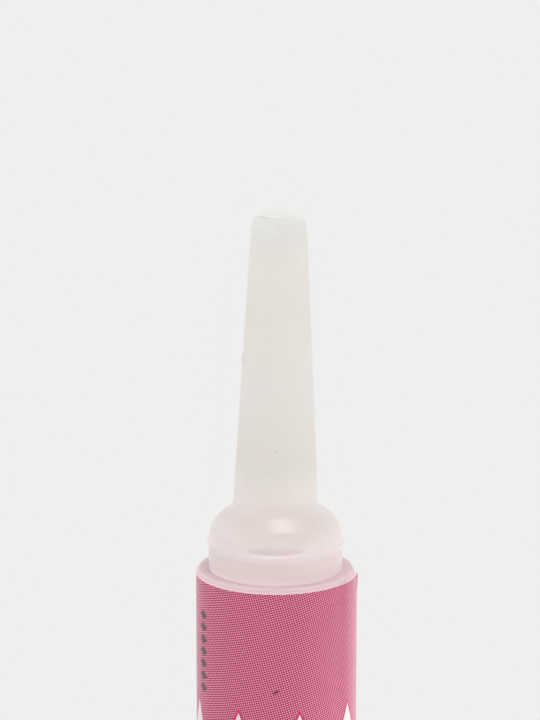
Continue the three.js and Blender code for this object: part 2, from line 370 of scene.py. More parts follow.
class Graph:
    """The node tree of one material or world."""

    def __init__(self, owner: bpy.types.Material | bpy.types.World) -> None:
        """Starts an empty tree.

        Args:
            owner: The material or world that gets it.
        """
        owner.use_nodes = True
        self.owner = owner
        self.tree = owner.node_tree
        self.tree.nodes.clear()

    def node(self, kind: str, sockets: dict | None = None, **settings: object) -> Value:
        """Adds a node, sets it up, then fills its sockets.

        Args:
            kind: The node's type without its ShaderNode prefix.
            sockets: Values or links by socket name or number.
            settings: Properties to set first. The one named stops holds a ramp's places and colours.

        Returns:
            The node's first output.
        """
        node = self.tree.nodes.new("ShaderNode" + kind)
        for name, setting in settings.items():
            if name == "stops":
                self._set_stops(node.color_ramp, setting)
            else:
                setattr(node, name, setting)
        for socket, value in (sockets or {}).items():
            if isinstance(value, Value):
                self.tree.links.new(value.node.outputs[value.socket], node.inputs[socket])
            else:
                node.inputs[socket].default_value = value
        return Value(self, node)

    @staticmethod
    def _set_stops(ramp: bpy.types.ColorRamp, stops: Sequence[tuple[float, Colour]]) -> None:
        """Gives a ramp its places and colours.

        Args:
            ramp: The ramp, with Blender's two first stops.
            stops: Place from 0 to 1 and sRGB colour, in order.
        """
        while len(ramp.elements) < len(stops):
            ramp.elements.new(1.0)
        for element, (place, colour) in zip(ramp.elements, stops):
            element.position = place
            element.color = linear(colour)

    def coordinates(self) -> Value:
        """The object's own coordinates, in metres."""
        return self.node("TexCoord").output("Object")

    def place(self) -> tuple[Value, ...]:
        """The object's own coordinates in millimetres, as x, y and z."""
        split = self.node("SeparateXYZ", {0: self.coordinates()})
        return tuple(split.output(axis) / MM for axis in "XYZ")

    def cloud(self, pitch: float, detail: float = 2.0, stretch: Place = (1.0, 1.0, 1.0)) -> Value:
        """Soft noise from 0 to 1 in the object's own coordinates.

        Args:
            pitch: Size of a blotch, in millimetres.
            detail: Octaves of finer noise.
            stretch: How much faster the noise runs along each axis.

        Returns:
            The noise.
        """
        scaled = self.node("Mapping", {"Vector": self.coordinates(), "Scale": stretch})
        sockets = {"Vector": scaled, "Scale": 1 / (pitch * MM), "Detail": detail}
        return self.node("TexNoise", sockets)

    def vector(self, operation: str, *operands: Value | Sequence[float], output: int | str = 0) -> Value:
        """One result of a new Vector Math node whose sockets take the operands in order."""
        return self.node("VectorMath", dict(enumerate(operands)), operation=operation).output(output)

    def scaled(self, colour: Value | Sequence[float], share: Value) -> Value:
        """A colour or vector times a number that varies over the surface."""
        return self.node("VectorMath", {0: colour, "Scale": share}, operation="SCALE")

    def mix(self, share: Value, first: Value | Colour, second: Value | Colour) -> Value:
        """Two colours mixed, 0 for the first and 1 for the second, sRGB where they are plain numbers."""
        sides = (side if isinstance(side, Value) else linear(side) for side in (first, second))
        return self.node("Mix", dict(zip(MIX_INPUTS, (share, *sides))), data_type="RGBA").output(MIX_RESULT)

    def bump(self, height: Value, strength: float, depth: float) -> Value:
        """A normal tilted by a height from 0 to 1, where 1 stands for a depth in millimetres."""
        return self.node("Bump", {"Strength": strength, "Distance": depth * MM, "Height": height})

    def shader(self, kind: str, **sockets: Value | float | Sequence[float]) -> Value:
        """A new shader, whose sockets are named with _ for a space."""
        named = {name.replace("_", " "): value for name, value in sockets.items()}
        return self.node(kind, named)

    def blend(self, share: Value, first: Value, second: Value) -> Value:
        """Two shaders mixed, 0 for the first and 1 for the second."""
        return self.node("MixShader", {0: share, 1: first, 2: second})

    def finish(self, shader: Value, output: str = "OutputMaterial") -> bpy.types.Material | bpy.types.World:
        """Links a shader to the tree's output node and returns the tree's owner."""
        self.node(output, {"Surface": shader})
        return self.owner


def material_graph(name: str) -> Graph:
    """A graph in a new material."""
    return Graph(bpy.data.materials.new(name))


@dataclass(frozen=True)
class Tint:
    """The colour of a plastic at one height, with any painted light and shade there."""

    height: float
    colour: Colour


@dataclass(frozen=True)
class Speck:
    """A soft mark along a short line on a piece, round where the line has no length.

    It is full out to the core's share of its radius. A firm one lets no light into the plastic.
    """

    start: Place
    end: Place
    radius: float
    colour: Colour
    strength: float
    firm: bool = False
    core: float = 0.4

    def mask(self, graph: Graph) -> Value:
        """The mark's strength over the surface, 0 from its radius outwards.

        The nearest point of the line is its start plus the share t of its run, with t the projection of
        the place on the run, held between 0 and 1.

        Args:
            graph: The graph of the piece's finish.

        Returns:
            The strength.
        """
        run = np.subtract(self.end, self.start)
        offset = graph.vector("SUBTRACT", graph.coordinates(), tuple(np.multiply(self.start, MM)))
        rate = tuple(run / (max(run @ run, TINY) * MM))
        share = graph.vector("DOT_PRODUCT", offset, rate, output="Value").most(0.0).least(1.0)
        nearest = graph.scaled(tuple(run * MM), share)
        gap = graph.vector("DISTANCE", offset, nearest, output="Value")
        return (1 - gap.step(self.radius * MM * self.core, self.radius * MM)) * self.strength


@dataclass(frozen=True)
class ShadeRing:
    """A flat ring of painted shade: its outer radius, height, colour, half thickness and fade."""

    radius: float
    height: float
    colour: Colour
    half_thickness: float = 0.08
    fade: float = 0.06

    def mask(self, x: Value, y: Value, z: Value) -> Value:
        """1 inside the ring's radius and near its height, 0 elsewhere.

        Args:
            x: Place to the right, in millimetres.
            y: Place to the back.
            z: Height.

        Returns:
            The mask.
        """
        beyond = ((x * x + y * y) ** 0.5).step(self.radius - self.fade, self.radius)
        apart = abs(z - self.height).step(self.half_thickness, self.half_thickness + self.fade)
        return (1 - beyond) * (1 - apart)


@dataclass(frozen=True)
class CatchShade:
    """Painted shade in a shallow crescent at the front, darker over its floor.

    Its top edge falls and its foot rises towards the ends by their own amounts, and each edge fades
    over its own length, the ends from a share of the half width squared.
    """

    half_width: float
    low: float
    high: float
    foot_rise: float
    top_fall: float
    colour: Colour
    strength: float
    foot_fade: float = 0.1
    top_fade: float = 0.3
    end_fade: Span = (0.75, 1.0)
    front_fade: Span = (0.0, 1.0)

    def mask(self, x: Value, y: Value, z: Value) -> Value:
        """The strength of the painted shade on the crescent's floor, 0 outside.

        Args:
            x: Place to the right, in millimetres.
            y: Place to the back.
            z: Height.

        Returns:
            The mask.
        """
        inset = (x / self.half_width) ** 2
        above = (z - inset * self.foot_rise).step(self.low, self.low + self.foot_fade)
        below = 1 - (z + inset * self.top_fall).step(self.high - self.top_fade, self.high)
        ends = 1 - inset.step(*self.end_fade)
        return above * below * ends * (0 - y).step(*self.front_fade) * self.strength


@dataclass(frozen=True)
class MilkyPlastic:
    """Soft, cloudy, satin polyethylene whose colour changes with height, painted light and shade included.

    Light spreads inside it over the depth of glow, and fine grain breaks its gloss.
    """

    name: str
    tints: tuple[Tint, ...]
    roughness: float
    depth_of_glow: float
    shade_rings: tuple[ShadeRing, ...] = ()
    glow_spread: Colour = (0.94, 0.97, 1.0)
    bending: float = 1.51
    cloud_pitch: float = 2.2
    cloud_contrast: float = 0.07
    line_pitch: float = 0.35
    line_stretch: Place = (1.0, 1.0, 0.04)
    line_contrast: float = 0.035
    grain_pitch: float = 0.16
    grain_detail: float = 3.0
    grain_strength: float = 0.6
    grain_depth: float = 0.006
    grain_contrast: float = 0.2

    def tinted(self, graph: Graph, place: tuple[Value, ...]) -> Value:
        """The colour: a height ramp under rings of painted shade, times 1 plus faint cloud and lines along
        the axis.

        Args:
            graph: The plastic's graph.
            place: The place in millimetres, as x, y and z.

        Returns:
            The colour.
        """
        low, high = self.tints[0].height, self.tints[-1].height
        stops = [((tint.height - low) / (high - low), tint.colour) for tint in self.tints]
        share = (place[2] - low) / (high - low)
        colour = graph.node("ValToRGB", {0: share}, stops=stops)
        # Rings of painted shade over the ramp.
        for ring in self.shade_rings:
            colour = graph.mix(ring.mask(*place), colour, ring.colour)
        cloud = graph.cloud(self.cloud_pitch) - 0.5
        lines = graph.cloud(self.line_pitch, stretch=self.line_stretch) - 0.5
        return graph.scaled(colour, 1 + cloud * self.cloud_contrast + lines * self.line_contrast)

    def grain(self, graph: Graph) -> tuple[Value, Value]:
        """Fine grain from 0 to 1, and the normal that it tilts."""
        grain = graph.cloud(self.grain_pitch, self.grain_detail)
        return grain, graph.bump(grain, self.grain_strength, self.grain_depth)

    def milky(self, graph: Graph, colour: Value, grain: Value, **sockets: Value | float) -> Value:
        """A shader in which light spreads, rougher where the grain stands up.

        Args:
            graph: The plastic's graph.
            colour: Its colour.
            grain: Its grain, from 0 to 1.
            sockets: Other sockets of the shader.

        Returns:
            The shader.
        """
        return graph.shader(
            "BsdfPrincipled",
            Base_Color=colour,
            Roughness=self.roughness + (grain - 0.5) * self.grain_contrast,
            IOR=self.bending,
            Subsurface_Weight=1.0,
            Subsurface_Radius=self.glow_spread,
            Subsurface_Scale=self.depth_of_glow * MM,
            **sockets,
        )

    def material(self) -> bpy.types.Material:
        """Builds the plastic.

        Returns:
            The material.
        """
        graph = material_graph(self.name)
        colour = self.tinted(graph, graph.place())
        grain, normal = self.grain(graph)
        return graph.finish(self.milky(graph, colour, grain, Normal=normal))


@dataclass(frozen=True, kw_only=True)
class SpirePlastic(MilkyPlastic):
    """Milky plastic that is firm and glossy at its foot, and satin and lucent further up.

    Each span of height is where something changes on the way up: over satin the gloss fades, over firm
    the plastic turns milky, all but a share of it that follows over haze, and over veil light starts to
    shine through from behind.
    """

    satin: Span
    firm: Span
    haze: Span
    haze_share: float
    veil: Span
    lucent: float
    lucent_colour: Colour = (254, 253, 252)
    clarity: float = 0.1
    coat_roughness: float = 0.34
    catch_shade: CatchShade
    specks: tuple[Speck, ...]

    def material(self) -> bpy.types.Material:
        """Builds the plastic: a firm shader mixed with a milky one, and both with light from behind.

        Returns:
            The material.
        """
        graph = material_graph(self.name)
        x, y, z = graph.place()
        colour = self.tinted(graph, (x, y, z))
        # Painted shade in the crescent of the thumbnail catch.
        colour = graph.mix(self.catch_shade.mask(x, y, z), colour, self.catch_shade.colour)
        milkiness = z.step(*self.firm) * (1 - self.haze_share) + z.step(*self.haze) * self.haze_share
        for speck in self.specks:
            mark = speck.mask(graph)
            colour = graph.mix(mark, colour, speck.colour)
            milkiness = milkiness * (1 - mark) if speck.firm else milkiness
        grain, normal = self.grain(graph)
        coat = 1 - z.step(*self.satin)
        surface = {"Coat_Weight": coat, "Coat_Roughness": self.coat_roughness, "Normal": normal}
        milky = self.milky(graph, colour, grain, Transmission_Weight=self.clarity, **surface)
        plain = {"Base_Color": colour, "Roughness": self.roughness, "IOR": self.bending}
        body = graph.blend(milkiness, graph.shader("BsdfPrincipled", **plain, **surface), milky)
        through = graph.shader("BsdfTranslucent", Color=linear(self.lucent_colour), Normal=normal)
        share = z.step(*self.veil) * milkiness * self.lucent
        return graph.finish(graph.blend(share, body, through))


@dataclass(frozen=True)
class Lozenges:
    """A column of diamonds on the film: its place, count and sizes, and the fade of their edges."""

    along: float
    top: float
    count: int
    pitch: float
    height: float
    width: float
    fade: float = 0.04

    def mask(self, along: Value, up: Value) -> Value:
        """1 inside a diamond, 0 outside.

        Inside one, the distances from its middle, as shares of its width and height, add up to less than
        a half.

        Args:
            along: Distance along the film, in millimetres.
            up: Height, in millimetres.

        Returns:
            The mask.
        """
        across = abs(along - self.along) / self.width
        drop = self.top - up
        beside = abs((drop - self.pitch / 2).wrapped(self.pitch)) / self.height
        length = self.count * self.pitch
        outside = abs(drop - length / 2) - length / 2
        return 1 - (across + beside - 0.5).most(outside).step(-self.fade, self.fade)


@dataclass(frozen=True)
class Drops:
    """A row of outlined drops round the film: place of one tip, pitch, sizes and fades of the edges."""

    along: float
    tip: float
    pitch: float
    height: float
    radius: float
    line: float
    line_fade: float = 0.03
    fill_fade: float = 0.04

    def gap(self, along: Value, up: Value) -> Value:
        """Distance from the edge of the nearest drop, below 0 inside.

        A drop is a circle joined to the triangle between its tip and the tangents from there.

        Args:
            along: Distance along the film, in millimetres.
            up: Height, in millimetres.

        Returns:
            The distance, in millimetres.
        """
        rise = self.height - self.radius
        lean = math.asin(self.radius / rise)
        across = abs((along - self.along).wrapped(self.pitch))
        above = up - (self.tip - rise)
        circle = (across * across + above * above) ** 0.5 - self.radius
        flank = across * math.cos(lean) + (above - rise) * math.sin(lean)
        return circle.least(flank.most(self.radius * math.sin(lean) - above))


@dataclass(frozen=True)
class HalftoneFilm:
    """Satin film printed in pink with a screen of square-set dots, pale at its cut top edge."""

    name: str
    top: float
    lozenges: Lozenges
    drops: Drops
    specks: tuple[Speck, ...]
    paper: Colour = (238, 132, 168)
    ink: Colour = (114, 0, 26)
    mark: Colour = (96, 60, 72)
    fill: Colour = (226, 214, 218)
    line: Colour = (196, 30, 96)
    core: Colour = (250, 212, 222)
    core_drop: Span = (0.045, 0.02)
    screen_pitch: float = 0.1693
    screen_angle: float = 15.0
    dot_level: float = 0.0
    softness: float = 0.25
    roughness: float = 0.34
    bending: float = 1.42
    peel_pitch: float = 0.5
    peel_contrast: float = 0.12
    peel_strength: float = 0.25
    peel_depth: float = 0.01

    def dots(self, along: Value, up: Value) -> Value:
        """Share of ink in the dot screen.

        Dots are where cos a + cos b passes their level, with a and b along two directions square to each
        other at the screen's angle, one turn to a pitch.

        Args:
            along: Distance along the film, in millimetres.
            up: Height, in millimetres.

        Returns:
            0 on paper, 1 in a dot.
        """
        turn, angle = 2 * math.pi / self.screen_pitch, math.radians(self.screen_angle)
        cos, sin = turn * math.cos(angle), turn * math.sin(angle)
        waves = (along * cos + up * sin).cos() + (along * sin - up * cos).cos()
        return waves.step(self.dot_level - self.softness, self.dot_level + self.softness)

    def material(self) -> bpy.types.Material:
        """Builds the print: diamonds and drops lie over the dots, and specks over all.

        Returns:
            The material.
        """
        graph = material_graph(self.name)
        flat = graph.node("UVMap", uv_map=FILM_MAP)
        split = graph.node("SeparateXYZ", {0: flat})
        along, up = split.output("X"), split.output("Y")
        colour = graph.mix(self.dots(along, up), self.paper, self.ink)
        colour = graph.mix(self.lozenges.mask(along, up), colour, self.mark)
        gap, half, fade = self.drops.gap(along, up), self.drops.line / 2, self.drops.line_fade
        colour = graph.mix(1 - gap.step(-half, -half + self.drops.fill_fade), colour, self.fill)
        colour = graph.mix(1 - (abs(gap) - half).step(-fade, fade), colour, self.line)
        low, high = (self.top - drop for drop in self.core_drop)
        colour = graph.mix(up.step(low, high), colour, self.core)
        for speck in self.specks:
            colour = graph.mix(speck.mask(graph), colour, speck.colour)
        peel = graph.cloud(self.peel_pitch)
        return graph.finish(graph.shader(
            "BsdfPrincipled",
            Base_Color=colour,
            Roughness=self.roughness + (peel - 0.5) * self.peel_contrast,
            IOR=self.bending,
            Normal=graph.bump(peel, self.peel_strength, self.peel_depth),
        ))


@dataclass(frozen=True)
class ClearGlue:
    """Clear, thin glue with a warm cast and a few fine bubbles under its surface."""

    name: str
    colour: Colour = (244, 238, 226)
    roughness: float = 0.04
    bending: float = 1.45
    clarity: float = 0.9
    bubble_colour: Colour = (255, 255, 255)
    bubble_pitch: float = 0.6
    bubble_span: Span = (0.68, 0.76)
    bubble_roughness: float = 0.2
    bubble_strength: float = 0.3
    bubble_depth: float = 0.05

    def material(self) -> bpy.types.Material:
        """Builds the liquid, with bubbles where a noise stands above its span.

        Returns:
            The material.
        """
        graph = material_graph(self.name)
        bubbles = graph.cloud(self.bubble_pitch, detail=1.0).step(*self.bubble_span)
        return graph.finish(graph.shader(
            "BsdfPrincipled",
            Base_Color=graph.mix(bubbles, self.colour, self.bubble_colour),
            Roughness=self.roughness + bubbles * self.bubble_roughness,
            IOR=self.bending,
            Transmission_Weight=self.clarity,
            Normal=graph.bump(bubbles, self.bubble_strength, self.bubble_depth),
        ))


@dataclass(frozen=True)
class Solid:
    """Foot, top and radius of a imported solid."""

    foot: float
    top: float
    radius: float

    @classmethod
    def of(cls, node: str) -> "Solid":
        """Reads a node's box."""
        low, high = np.array(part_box(node)) / MM
        return cls(low[2], high[2], high[0])


@dataclass(frozen=True)
class Datum:
    """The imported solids, and the gap between the bottle's shoulder and the cap's rim."""

    bottle: Solid
    nozzle: Solid
    glue: Solid
    film: Solid
    cap: Solid
    rim_gap: float = 0.05

    @classmethod
    def from_frame(cls) -> "Datum":
        """Reads the frame's nodes."""
        solids = {node: Solid.of(node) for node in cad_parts}
        return cls(*(solids[node] for node in NODES))

    @property
    def shoulder(self) -> float:
        """Level of the bottle's shoulder."""
        return self.cap.foot - self.rim_gap


def dress(piece: bpy.types.Object, material: bpy.types.Material, body: str, node: str) -> None:
    """Gives a piece its material and ties it to the frame.

    Args:
        piece: The piece.
        material: Its finish.
        body: The CAD body that it moves with.
        node: The CAD node that it stands for.
    """
    piece.data.materials.append(material)
    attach(piece, body)
    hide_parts(node)
    LOG.info("%s: %d faces, rides on %s, stands for %s", piece.name, len(piece.data.polygons), body, node)


@dataclass
class Bottle:
    """The blown bottle: foot ring, push-up with a pinch scar, body, flat shoulder, neck and snap ring."""

    datum: Datum
    wall: float = 0.7
    base: float = 0.7
    shoulder_thickness: float = 0.8
    shoulder_round: float = 0.17
    shoulder_drop: float = 0.1
    foot_round: float = 0.7
    foot_ring: float = 0.9
    foot_lip_round: float = 0.25
    push_up: float = 0.5
    push_up_flare: float = 0.9
    push_up_round: float = 0.4
    cavity_round: float = 0.5
    neck_radius: float = 4.05
    neck_bore: float = 3.0
    neck_chamfer: float = 0.25
    neck_foot_round: float = 0.08
    neck_round: float = 0.1
    mouth_round: float = 0.05
    ring_proud: float = 0.08
    ring_width: float = 0.5
    ring_drop: float = 0.85
    ring_rounds: Span = (0.03, 0.05)
    pinch_half_length: float = 2.5
    pinch_half_width: float = 0.15
    pinch_end_fade: float = 0.2
    pinch_proud: float = 0.15
    facets: int = 192
    step: float = 0.5

    def outline(self) -> Outline:
        """Draws the section up the outside and down the bore and the cavity.

        Returns:
            The outline.
        """
        radius, top = self.datum.bottle.radius, self.datum.bottle.top
        push_up_radius = radius - self.foot_round - self.foot_ring
        ring_foot = top - self.neck_chamfer - self.ring_drop - self.ring_width / 2
        cavity = radius - self.wall
        cavity_top = self.datum.shoulder - self.shoulder_thickness
        floor = self.push_up + self.base
        shoulder = self.datum.shoulder - self.shoulder_drop
        return (
            Outline()
            .to(0, self.push_up)
            .to(push_up_radius - self.push_up_flare, self.push_up, self.push_up_round)
            .to(push_up_radius, 0, self.foot_lip_round)
            .to(radius, 0, self.foot_round)
            .to(radius, shoulder, self.shoulder_round)
            .to(self.neck_radius, shoulder, self.neck_foot_round)
            .ring(self.neck_radius, self.ring_proud, ring_foot, self.ring_width, self.ring_rounds)
            .to(self.neck_radius, top - self.neck_chamfer, self.neck_round)
            .to(self.neck_radius - self.neck_chamfer, top, self.neck_round)
            .to(self.neck_bore, top, self.mouth_round)
            .to(self.neck_bore, cavity_top, self.neck_round)
            .to(cavity, cavity_top, self.cavity_round)
            .to(cavity, floor, self.cavity_round)
            .to(0, floor)
        )

    def pinch(self, points: np.ndarray) -> np.ndarray:
        """How far the push-up is lowered along the line where the mould pinched the tube shut.

        The depth falls by a smooth step across the line, from its half width to twice that, and by
        another past its ends.

        Args:
            points: The bottle's points.

        Returns:
            Shifts in x, y and z.
        """
        x, y, z = np.moveaxis(points, -1, 0)
        line = 1 - smooth_step(self.pinch_half_width, 2 * self.pinch_half_width, np.abs(y))
        end = self.pinch_half_length + self.pinch_end_fade
        line *= 1 - smooth_step(self.pinch_half_length, end, np.abs(x))
        below = z <= self.push_up + TINY
        return np.stack([0 * x, 0 * x, -self.pinch_proud * line * below], -1)

    def build(self) -> bpy.types.Object:
        """Makes the bottle's mesh."""
        points = Turned.from_outline(self.outline().sampled(self.step), self.facets).points()
        return grid_piece("blown_bottle", points + self.pinch(points), Ends.POLES)

    def dressed(self) -> None:
        """Builds and finishes the bottle in pale plastic, with painted pink light and painted shade at the
        shoulder.
        """
        shoulder, radius = self.datum.shoulder, self.datum.bottle.radius
        # Pinker just round the shoulder: painted pink light from the film.
        tints = (
            Tint(0.0, (220, 201, 204)),
            Tint(shoulder - 1, (231, 210, 210)),
            Tint(shoulder + 0.1, (231, 210, 210)),
            Tint(shoulder + 0.3, (236, 227, 226)),
            Tint(self.datum.bottle.top, (236, 229, 227)),
        )
        # Painted shade: a band over the whole shoulder and its rounded edge, and a darker mauve flat inside
        # it.
        shade_rings = (
            ShadeRing(radius + 0.1, shoulder - self.shoulder_drop, (215, 193, 195), half_thickness=0.14),
            ShadeRing(radius - 0.13, shoulder - self.shoulder_drop, (203, 180, 186)),
        )
        plastic = MilkyPlastic("bottle_plastic", tints, roughness=0.6, depth_of_glow=0.05, shade_rings=shade_rings)
        dress(self.build(), plastic.material(), "tube", "bottle_body")


@dataclass
class Nozzle:
    """The dropper nozzle: ringed plug, flange and long spout with a fine bore."""

    datum: Datum
    plug_radius: float = 2.87
    plug_round: float = 0.05
    plug_top_round: float = 0.03
    ring_count: int = 2
    ring_width: float = 0.45
    ring_proud: float = 0.1
    ring_rounds: Span = (0.03, 0.04)
    lead_in: float = 0.5
    chamfer: float = 0.25
    lip: float = 0.75
    flange_gap: float = 0.03
    flange_thickness: float = 0.35
    flange_foot_round: float = 0.06
    flange_round: float = 0.12
    spout_foot_radius: float = 1.97
    spout_tip_radius: float = 1.0437
    spout_tip_round: float = 0.2
    fillet_width: float = 0.45
    fillet_rise: float = 0.9
    fillet_foot_round: float = 0.3
    fillet_round: float = 1.2
    bore: float = 0.45
    bore_round: float = 0.06
    funnel: float = 2.6
    funnel_round: float = 0.3
    facets: int = 128
    step: float = 0.5

    def outline(self) -> Outline:
        """Draws the section up the outside, over the tip and down the bore and its funnel.

        Returns:
            The outline.
        """
        foot, tip = self.datum.nozzle.foot, self.datum.nozzle.top
        neck_top, flange_radius = self.datum.bottle.top, self.datum.nozzle.radius
        lip = self.plug_radius - self.lip
        flange_foot = neck_top + self.flange_gap
        flange_top = flange_foot + self.flange_thickness
        pitch = (neck_top - foot - self.lead_in) / (self.ring_count + 1)
        line = Outline().to(lip, foot).to(self.plug_radius - self.chamfer, foot, self.plug_round)
        for ring in range(self.ring_count):
            ring_foot = foot + self.lead_in + ring * pitch
            line.ring(self.plug_radius, self.ring_proud, ring_foot, self.ring_width, self.ring_rounds)
        return (
            line.to(self.plug_radius, flange_foot, self.plug_top_round)
            .to(flange_radius, flange_foot, self.flange_foot_round)
            .to(flange_radius, flange_top, self.flange_round)
            .to(self.spout_foot_radius + self.fillet_width, flange_top, self.fillet_foot_round)
            .to(self.spout_foot_radius, flange_top + self.fillet_rise, self.fillet_round)
            .to(self.spout_tip_radius, tip, self.spout_tip_round)
            .to(self.bore, tip, self.bore_round)
            .to(self.bore, foot + self.funnel, self.funnel_round)
            .to(lip, foot)
        )

    def build(self) -> bpy.types.Object:
        """Makes the nozzle's mesh, whose outline closes on itself."""
        outline = self.outline().sampled(self.step)[:-1]
        return grid_piece("spout_nozzle", Turned.from_outline(outline, self.facets).points(), Ends.LOOP)

    def dressed(self) -> None:
        """Builds and finishes the nozzle in clean milky plastic."""
        solid = self.datum.nozzle
        tints = (Tint(solid.foot, (236, 228, 217)), Tint(solid.top, (238, 232, 222)))
        plastic = MilkyPlastic("nozzle_plastic", tints, roughness=0.36, depth_of_glow=0.1)
        dress(self.build(), plastic.material(), "tube", "dropper_nozzle")


@dataclass
class Glue:
    """The glue in the bottle, with its surface drawn up at the wall."""

    datum: Datum
    foot_round: float = 0.5
    meniscus_round: float = 0.45
    meniscus_width: float = 0.15
    meniscus_height: float = 0.29
    facets: int = 128
    step: float = 1.0

    def build(self) -> bpy.types.Object:
        """Makes the liquid's mesh: a floor, a wall and a surface that curves up to the wall.

        Returns:
            The glue.
        """
        solid = self.datum.glue
        level = solid.top - self.meniscus_height
        outline = (
            Outline()
            .to(0, solid.foot)
            .to(solid.radius, solid.foot, self.foot_round)
            .to(solid.radius, solid.top)
            .to(solid.radius - self.meniscus_width, level, self.meniscus_round)
            .to(0, level)
        )
        turned = Turned.from_outline(outline.sampled(self.step), self.facets)
        return grid_piece("clear_glue", turned.points(), Ends.POLES)

    def dressed(self) -> None:
        """Builds and finishes the glue."""
        dress(self.build(), ClearGlue("clear_glue").material(), "tube", "glue_fill")


@dataclass
class WrapLabel:
    """The printed film, wound once round the body with its end lapped over its start."""

    datum: Datum
    thickness: float = 0.09
    adhesive: float = 0.003
    lap: float = 2.6
    ramp: float = 1.2
    tail: float = 0.9
    tail_lift: float = 0.12
    tail_curl: float = 2.2
    tail_foot_share: float = 0.3
    start_angle: float = -27.5
    top_rise: float = 0.015
    edge: float = 0.02
    drop_count: int = 8
    steps: int = 420
    levels: int = 48

    @property
    def seat(self) -> float:
        """Radius of the film's inner face, on its adhesive."""
        return self.datum.bottle.radius + self.adhesive

    @property
    def top(self) -> float:
        """Level of the film's top edge."""
        return self.datum.film.top + self.top_rise

    def along(self, azimuth: float) -> float:
        """Distance along the film from its start to a direction, in degrees to the right of the front."""
        return math.radians((azimuth - 90 - self.start_angle) % 360) * self.seat

    def build(self) -> bpy.types.Object:
        """Makes the film.

        Its section, a thin upright rectangle, is carried along a circle that climbs by a thickness over
        its own start, and lifts a little at its tail, most of all at the top.

        Returns:
            The film.
        """
        foot, top, seat = self.datum.film.foot, self.top, self.seat
        end = 2 * np.pi + self.lap / seat
        angle = np.linspace(0, end, self.steps)
        over = smooth_step(2 * np.pi - self.ramp / seat, 2 * np.pi, angle)
        climb = (self.thickness + self.adhesive) * over
        lift = self.tail_lift * smooth_step(end - self.tail / seat, end, angle)
        inner = np.linspace(foot + self.edge, top - self.edge, self.levels - 2)
        rise = np.concatenate([[foot], inner, [top]])
        height = np.concatenate([rise, rise[::-1]])
        offset = np.concatenate([np.full(self.levels, self.thickness), np.zeros(self.levels)])
        share = self.tail_foot_share
        curl = share + (1 - share) * smooth_step(top - self.tail_curl, top, height)
        radius = (seat + climb)[:, None] + lift[:, None] * curl + offset
        turn = (angle + math.radians(self.start_angle))[:, None]
        level = np.broadcast_to(height, radius.shape)
        points = Turned(radius, turn, level).points()
        film_map = np.stack([np.broadcast_to((angle * seat)[:, None], radius.shape), level], -1)
        return grid_piece("printed_film", points[:, ::-1], Ends.CAPS, film_map[:, ::-1])

    def dressed(self) -> None:
        """Builds and finishes the film, with diamonds down its left side and drops round its middle."""
        shoulder = self.datum.shoulder
        lozenges = Lozenges(
            along=self.along(-64.5), top=shoulder - 2.5, count=7, pitch=0.93, height=0.78, width=1.15
        )
        drops = Drops(
            along=self.along(-27.6), tip=shoulder - 9.45, pitch=2 * np.pi * self.seat / self.drop_count,
            height=3.4, radius=0.95, line=0.15,
        )
        smear, smear_end = (-0.1, -5.88, shoulder - 7.92), (0.14, -5.88, shoulder - 7.8)
        fleck = (4.04, -4.28, shoulder - 2.64)
        specks = (
            Speck(smear, smear_end, radius=0.13, colour=(92, 30, 50), strength=0.9),
            Speck(fleck, fleck, radius=0.09, colour=(150, 20, 50), strength=0.7),
        )
        film = HalftoneFilm("label_film", self.top, lozenges, drops, specks)
        dress(self.build(), film.material(), "tube", "wrap_label")


